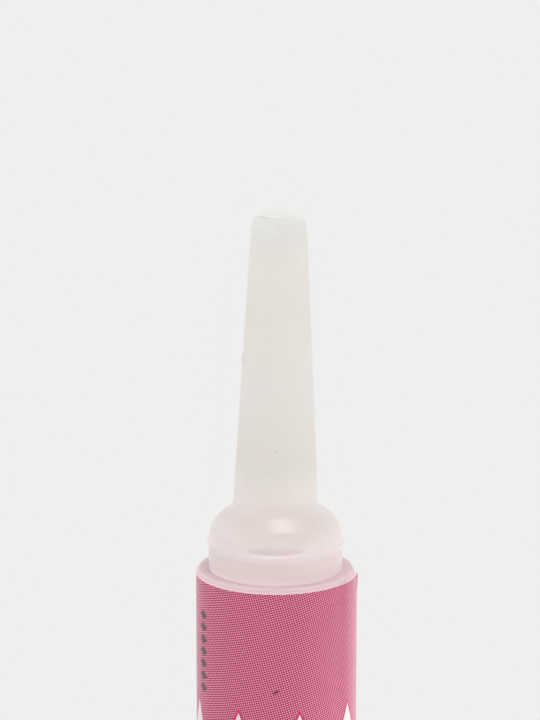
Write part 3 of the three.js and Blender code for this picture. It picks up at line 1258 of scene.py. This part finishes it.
@dataclass
class Cap:
    """The push-on cap: skirt, pull bead, thumbnail catch, dome, spire with a rough tip, and sealing pin.

    Heights are over the shoulder, and drops are below the cap's top.
    """

    datum: Datum
    skirt_radius: float = 4.91
    bore: float = 4.2
    bore_round: float = 0.05
    lead_in: float = 0.2
    lead_in_round: float = 0.04
    rim_drop: float = 0.098
    rim_round: float = 0.015
    bead_radius: float = 5.05
    bead_middle: float = 2.0
    bead_rise: float = 0.42
    bead_fall: float = 0.36
    bead_half_flat: float = 0.08
    bead_round: float = 0.16
    bead_foot_round: float = 0.2
    bead_left: float = 0.1
    bead_worn: Span = (50.0, 85.0)
    dome_radius: float = 4.84
    dome_foot_round: float = 0.25
    dome_brow: float = 3.08
    dome_brow_radius: float = 4.77
    dome_crown: float = 3.68
    dome_crown_radius: float = 4.42
    dome_round: float = 1.6
    inner_corner: float = 3.02
    inner_round: float = 0.6
    spire_foot: float = 4.74
    spire_foot_radius: float = 3.11
    spire_foot_round: float = 0.9
    spire_tip_radius: float = 2.02
    spire_tip_round: float = 0.8
    spire_lean: float = 0.66
    hollow_foot: float = 4.21
    hollow_foot_radius: float = 2.42
    hollow_top: float = 23.95
    hollow_top_radius: float = 1.3835
    hollow_round: float = 0.3
    pin_radius: float = 0.35
    pin_tip: float = 20.35
    pin_tip_round: float = 0.15
    pin_shank: float = 22.35
    pin_spread: float = 0.4
    pin_root_round: float = 0.2
    tip_slope: float = 0.95
    tip_face_radius: float = 1.5
    tip_face_round: float = 0.25
    tip_face_drop: float = 0.012
    tip_middle_drop: float = 0.005
    tip_shift: float = 0.15
    tip_shift_drop: Span = (0.7, 0.1)
    tip_roughness: float = 0.018
    tip_rough_drop: Span = (1.6, 0.3)
    tip_rough_pitch: float = 0.34
    tip_rough_waves: int = 48
    tip_rough_seed: int = 7
    tip_rough_fall: float = 0.3
    tip_bulge: float = 0.12
    tip_bulge_drop: float = 0.45
    tip_bulge_half_height: float = 0.42
    parting_proud: float = 0.012
    parting_half_angle: float = 2.4
    burr_proud: float = 0.15
    burr_height: float = 15.78
    burr_half_height: float = 0.35
    catch_half_angle: float = 27.0
    catch_depth: float = 0.15
    catch_foot: float = 1.98
    catch_floor: float = 2.22
    catch_top: float = 2.75
    catch_foot_rise: float = 0.13
    catch_top_fall: float = 0.1
    facets: int = 208
    step: float = 0.16

    def outline(self) -> Outline:
        """Draws the section from the pin's tip down the inside and up the outside.

        Returns:
            The outline.
        """
        base, top = self.datum.shoulder, self.datum.cap.top
        rim, bead = base - self.rim_drop, base + self.bead_middle
        return (
            Outline()
            .to(0, base + self.pin_tip)
            .to(self.pin_radius, base + self.pin_tip, self.pin_tip_round)
            .to(self.pin_radius, base + self.pin_shank, self.pin_root_round)
            .to(self.pin_radius + self.pin_spread, base + self.hollow_top, self.pin_root_round)
            .to(self.hollow_top_radius, base + self.hollow_top, self.hollow_round)
            .to(self.hollow_foot_radius, base + self.hollow_foot, self.hollow_round)
            .to(self.bore, base + self.inner_corner, self.inner_round)
            .to(self.bore, rim + self.lead_in, self.bore_round)
            .to(self.bore + self.lead_in, rim, self.lead_in_round)
            .to(self.skirt_radius, rim, self.rim_round)
            .to(self.skirt_radius, bead - self.bead_fall, self.bead_foot_round)
            .to(self.bead_radius, bead - self.bead_half_flat, self.bead_round)
            .to(self.bead_radius, bead + self.bead_half_flat, self.bead_round)
            .to(self.dome_radius, bead + self.bead_rise, self.dome_foot_round)
            .to(self.dome_brow_radius, base + self.dome_brow, self.dome_round)
            .to(self.dome_crown_radius, base + self.dome_crown, self.dome_round)
            .to(self.spire_foot_radius, base + self.spire_foot, self.spire_foot_round)
            .to(self.spire_tip_radius, top - self.tip_slope, self.spire_tip_round)
            .to(self.tip_face_radius, top - self.tip_face_drop, self.tip_face_round)
            .to(0, top - self.tip_middle_drop)
        )

    def catch(self, from_front: np.ndarray, up: np.ndarray) -> np.ndarray:
        """Depth of the thumbnail catch: a step up from its foot times a step down to its top.

        With t the angle over the half angle, the depth fades as 1 - t^4, and foot and top draw together
        as t^2.

        Args:
            from_front: Degrees from the front.
            up: Height over the shoulder.

        Returns:
            The depth, in millimetres.
        """
        inset = np.clip(from_front / self.catch_half_angle, -1, 1) ** 2
        below = smooth_step(self.catch_foot, self.catch_floor, up - self.catch_foot_rise * inset)
        above = 1 - smooth_step(self.catch_floor, self.catch_top, up + self.catch_top_fall * inset)
        return self.catch_depth * (1 - inset**2) * below * above

    def wear(self, radius: np.ndarray, aside: np.ndarray, up: np.ndarray) -> np.ndarray:
        """How much of the bead is worn away: all but what is left at front and back, none at the sides.

        The bead is what stands out from the straight line between its foot and the dome's.

        Args:
            radius: Radius of each point.
            aside: Degrees from the nearer of front and back.
            up: Height over the shoulder.

        Returns:
            The wear, in millimetres.
        """
        worn = (1 - self.bead_left) * (1 - smooth_step(*self.bead_worn, aside))
        low, high = self.bead_middle - self.bead_fall, self.bead_middle + self.bead_rise
        flank = self.skirt_radius + (self.dome_radius - self.skirt_radius) * (up - low) / (high - low)
        return worn * np.where((up > low) & (up < high), radius - flank, 0)

    def shifts(self, at: Turned) -> np.ndarray:
        """How far the points on the outside move.

        Along the radius the catch and the wear go in, and the tip's bulge, the parting lines, the burr on
        the left one and the tip's roughness stand out. The spire leans along x, by its height over its
        foot times the lean's tangent, and the tip's face is set back again.

        Args:
            at: The turned outline.

        Returns:
            Shifts in x, y and z.
        """
        top, up = self.datum.cap.top, at.height - self.datum.shoulder
        from_front = np.degrees(np.angle(np.exp(1j * (at.angle - FRONT))))
        aside = 90 - np.abs(np.abs(from_front) - 90)
        bulge = self.tip_bulge * bell(at.height, top - self.tip_bulge_drop, self.tip_bulge_half_height)
        burr = self.burr_proud * bell(up, self.burr_height, self.burr_half_height) * (from_front < 0)
        parting = bell(aside, 90, self.parting_half_angle) * (self.parting_proud + burr)
        waves = ripple(at.points(), self.tip_rough_seed, self.tip_rough_waves, self.tip_rough_pitch)
        low, high = (top - drop for drop in self.tip_rough_drop)
        rough = self.tip_roughness * smooth_step(low, high, at.height) * waves
        out = bulge * (1 + np.cos(at.angle)) / 2 + parting + rough
        out = out - self.catch(from_front, up) - self.wear(at.radius, aside, up)
        lean = math.tan(math.radians(self.spire_lean)) * np.clip(up - self.spire_foot, 0, None)
        low, high = (top - drop for drop in self.tip_shift_drop)
        lean = lean - self.tip_shift * smooth_step(low, high, at.height)
        lift = np.minimum(-self.tip_rough_fall * rough, top - at.height)
        shifts = np.stack([out * np.cos(at.angle) + lean, out * np.sin(at.angle), lift], -1)
        rim = np.argmin(at.height[:, 0])
        return shifts * (np.arange(len(shifts)) > rim)[:, None, None]

    def build(self) -> bpy.types.Object:
        """Makes the cap's mesh."""
        at = Turned.from_outline(self.outline().sampled(self.step), self.facets)
        return grid_piece("tapered_cap", at.points() + self.shifts(at), Ends.POLES)

    def tints(self) -> tuple[Tint, ...]:
        """The tints, holding painted light and shade as well as the plastic's colour.

        Pink at the skirt is painted pink light from the film, the lightest tints at the rim are painted
        glow over the contact shade, the grey at the dome's crown and the darker tip are painted shade
        against the top light, and the spire is warm.

        Returns:
            The tints, from the rim to the top.
        """
        # Painted light and shade: pink near the rim stands for light from the pink film, the lightest tints
        # at the rim are painted glow over the contact shade, and the grey from 3.2 to 4.4 is painted shade
        # against the top light.
        over_shoulder = {
            -self.rim_drop: (246, 230, 227),
            0.15: (236, 219, 218),
            0.4: (224, 207, 206),
            1.4: (219, 203, 201),
            1.9: (225, 212, 211),
            2.5: (228, 215, 213),
            2.9: (226, 214, 211),
            3.2: (222, 211, 208),
            3.6: (218, 207, 204),
            4.0: (214, 203, 200),
            4.4: (215, 204, 200),
            4.8: (228, 218, 215),
            5.4: (243, 233, 229),
            7.5: (255, 246, 240),
            14.0: (254, 251, 246),
        }
        # Darker towards the top: painted shade against the top light on the solid tip.
        below_top = {4.8: (253, 247, 240), 2.5: (236, 234, 229), 0.0: (222, 223, 220)}
        base, top = self.datum.shoulder, self.datum.cap.top
        lower = (Tint(base + height, colour) for height, colour in over_shoulder.items())
        upper = (Tint(top - drop, colour) for drop, colour in below_top.items())
        return (*lower, *upper)

    def specks(self) -> tuple[Speck, ...]:
        """The cap's marks: nicks round the tip, then a dot and a scratch lower down.

        Returns:
            The marks.
        """
        base, top = self.datum.shoulder, self.datum.cap.top
        dot = (0.03, -2.83, base + 9.5)
        scratch, scratch_end = (2.73, -2.16, base + 4.48), (3.45, -3.21, base + 3.27)
        return (
            Speck((-1.28, -0.69, top - 0.09), (-0.88, -1.19, top - 0.08), 0.13, (150, 143, 134), 0.5),
            Speck((-0.88, -1.19, top - 0.08), (-0.48, -1.44, top - 0.11), 0.11, (165, 156, 142), 0.4),
            Speck((0.27, -1.5, top - 0.04), (0.41, -1.48, top - 0.04), 0.08, (170, 160, 148), 0.4),
            Speck((1.9, -0.89, top - 0.64), (1.84, -1.0, top - 0.7), 0.09, (160, 158, 152), 0.6),
            Speck((-1.56, -0.91, top - 0.93), (-1.6, -0.86, top - 1.1), 0.12, (186, 184, 178), 0.6),
            Speck((-1.56, -1.0, top - 1.58), (-1.58, -1.0, top - 1.8), 0.1, (190, 188, 182), 0.5),
            Speck(dot, dot, 0.08, (120, 104, 90), 0.8, firm=True),
            Speck(scratch, scratch_end, 0.1, (232, 224, 221), 0.4, firm=True),
        )

    def dressed(self) -> None:
        """Builds and finishes the cap."""
        base = self.datum.shoulder
        # Painted shade in the thumbnail catch's crescent.
        catch_shade = CatchShade(
            half_width=2.1, low=base + 2.14, high=base + 2.85, foot_rise=self.catch_foot_rise,
            top_fall=self.catch_top_fall, colour=(214, 186, 190), strength=0.3,
        )
        plastic = SpirePlastic(
            "cap_plastic", self.tints(), roughness=0.75, depth_of_glow=0.25, bending=1.1,
            satin=(base + 4.8, base + 7.0), firm=(base + 1.6, base + 4.4),
            haze=(base + 6.5, base + 12.0), haze_share=0.15,
            veil=(base + 4.2, base + 9.0), lucent=0.57,
            catch_shade=catch_shade, specks=self.specks(),
        )
        dress(self.build(), plastic.material(), "cap", "cap")


@dataclass(frozen=True)
class Panel:
    """A soft rectangular light that faces the tube: its direction, power, distance, size and shifts."""

    name: str
    azimuth: float
    elevation: float
    watts: float
    distance: float = 450.0
    width: float = 200.0
    height: float = 200.0
    aside: float = 0.0
    down: float = 0.0

    def add(self, target: np.ndarray) -> None:
        """Adds the light.

        Args:
            target: The point that it faces before it is shifted, in metres.
        """
        azimuth, elevation = math.radians(self.azimuth), math.radians(self.elevation)
        out = math.cos(elevation)
        away = np.array([math.sin(azimuth) * out, -math.cos(azimuth) * out, math.sin(elevation)])
        side = np.array([math.cos(azimuth), math.sin(azimuth), 0.0])
        light = bpy.data.lights.new(self.name, "AREA")
        light.shape = "RECTANGLE"
        light.size, light.size_y = self.width * MM, self.height * MM
        light.energy = self.watts
        lamp = put(self.name, light)
        lamp.location = target + (away * self.distance + side * self.aside + (0, 0, -self.down)) * MM
        lamp.rotation_euler = (math.pi / 2 - elevation, 0, azimuth)
        lamp.visible_camera = False


@dataclass
class Studio:
    """A plain pale floor, soft light and the camera."""

    datum: Datum
    backdrop: Colour = (239, 239, 239)
    ambient: float = 0.975
    floor_half_width: float = 1500.0
    floor_albedo: Colour = (232, 232, 232)
    floor_shade: Colour = (222, 222, 222)
    floor_glow: float = 0.4
    floor_gap: float = 1.0
    shadow_reach: Span = (25.0, 72.0)
    camera_distance: float = 300.0
    camera_elevation: float = 16.8
    camera_pitch: float = 13.9
    camera_aside: float = -0.414
    camera_near: float = 10.0
    lens: float = 203.125
    panels: tuple[Panel, ...] = (
        Panel("top_panel", 0, 86, watts=0.5, height=60, aside=58),
        Panel("front_panel", 0, 30, watts=0.07),
        Panel("left_panel", -80, 25, watts=0.11),
        Panel("right_card", 118, -20, watts=0.00095, distance=22, width=32, height=18, down=7),
        Panel("low_card", 62, -20, watts=0.00062, distance=22, width=18, height=18, down=7),
        Panel("left_card", -140, -20, watts=0.00012, distance=22, width=12, height=18, down=7),
    )

    def seen(self, graph: Graph) -> Value:
        """1 for rays that show the backdrop: those of the camera, of gloss and of clear plastic.

        Args:
            graph: The graph of the floor or the world.

        Returns:
            1 for such rays, 0 for others.
        """
        path = graph.node("LightPath")
        kinds = ("Is Camera Ray", "Is Glossy Ray", "Is Transmission Ray")
        camera, glossy, through = (path.output(kind) for kind in kinds)
        return camera.most(glossy).most(through)

    def world(self) -> None:
        """Lights the scene evenly, and shows the backdrop's colour where nothing else is."""
        world = bpy.data.worlds.new("pale_room")
        bpy.context.scene.world = world
        graph = Graph(world)
        light = graph.shader("Background", Color=(self.ambient, self.ambient, self.ambient, 1.0))
        shown = graph.shader("Background", Color=linear(self.backdrop))
        graph.finish(graph.blend(self.seen(graph), light, shown), "OutputWorld")

    def floor_material(self) -> bpy.types.Material:
        """Builds the floor's finish.

        Round the tube it is mostly matt and takes the shadow, and further out it glows with the backdrop's
        colour. Rays no longer than the gap pass through it, so that the foot isn't black from below.

        Returns:
            The material.
        """
        graph = material_graph("pale_floor")
        seen = self.seen(graph)
        matt = graph.shader("BsdfDiffuse", Color=graph.mix(seen, self.floor_albedo, self.floor_shade))
        glow = graph.shader("Emission", Color=linear(self.backdrop))
        x, y, _ = graph.place()
        far = ((x * x + y * y) ** 0.5).step(*self.shadow_reach)
        share = seen * (far * (1 - self.floor_glow) + self.floor_glow)
        below = graph.node("NewGeometry").output("Backfacing")
        length = graph.node("LightPath").output("Ray Length") / MM
        clear = below.most(1 - length.step(self.floor_gap, 2 * self.floor_gap))
        top = graph.blend(share, matt, glow)
        return graph.finish(graph.blend(clear, top, graph.shader("BsdfTransparent")))

    def floor(self) -> None:
        """Lays the floor."""
        half = self.floor_half_width * MM
        corners = [(-half, -half, 0), (half, -half, 0), (half, half, 0), (-half, half, 0)]
        mesh = bpy.data.meshes.new("floor")
        mesh.from_pydata(corners, [], [(0, 1, 2, 3)])
        mesh.materials.append(self.floor_material())
        put("floor", mesh)

    def camera(self) -> None:
        """Sets the camera a little above the shoulder, looking down past the cap."""
        data = bpy.data.cameras.new("camera")
        data.lens = self.lens
        data.clip_start = self.camera_near * MM
        camera = put("camera", data)
        rise = math.radians(self.camera_elevation)
        camera.location = (
            self.camera_aside * MM,
            -self.camera_distance * math.cos(rise) * MM,
            (self.datum.shoulder + self.camera_distance * math.sin(rise)) * MM,
        )
        camera.rotation_euler = (math.radians(90 - self.camera_pitch), 0, 0)
        bpy.context.scene.camera = camera

    def build(self) -> None:
        """Adds the camera, the floor and the light."""
        self.camera()
        self.world()
        self.floor()
        target = np.array([0, 0, self.datum.shoulder * MM])
        for panel in self.panels:
            panel.add(target)
        bpy.context.scene.view_settings.view_transform = "Standard"
        LOG.info("studio: %d panels", len(self.panels))


def main() -> None:
    """Builds the studio and the pieces in order."""
    logging.basicConfig(level=logging.INFO, format="%(message)s")
    datum = Datum.from_frame()
    Studio(datum).build()
    for piece in (Bottle(datum), Glue(datum), Nozzle(datum), WrapLabel(datum), Cap(datum)):
        piece.dressed()


if __name__ == "__main__":
    main()
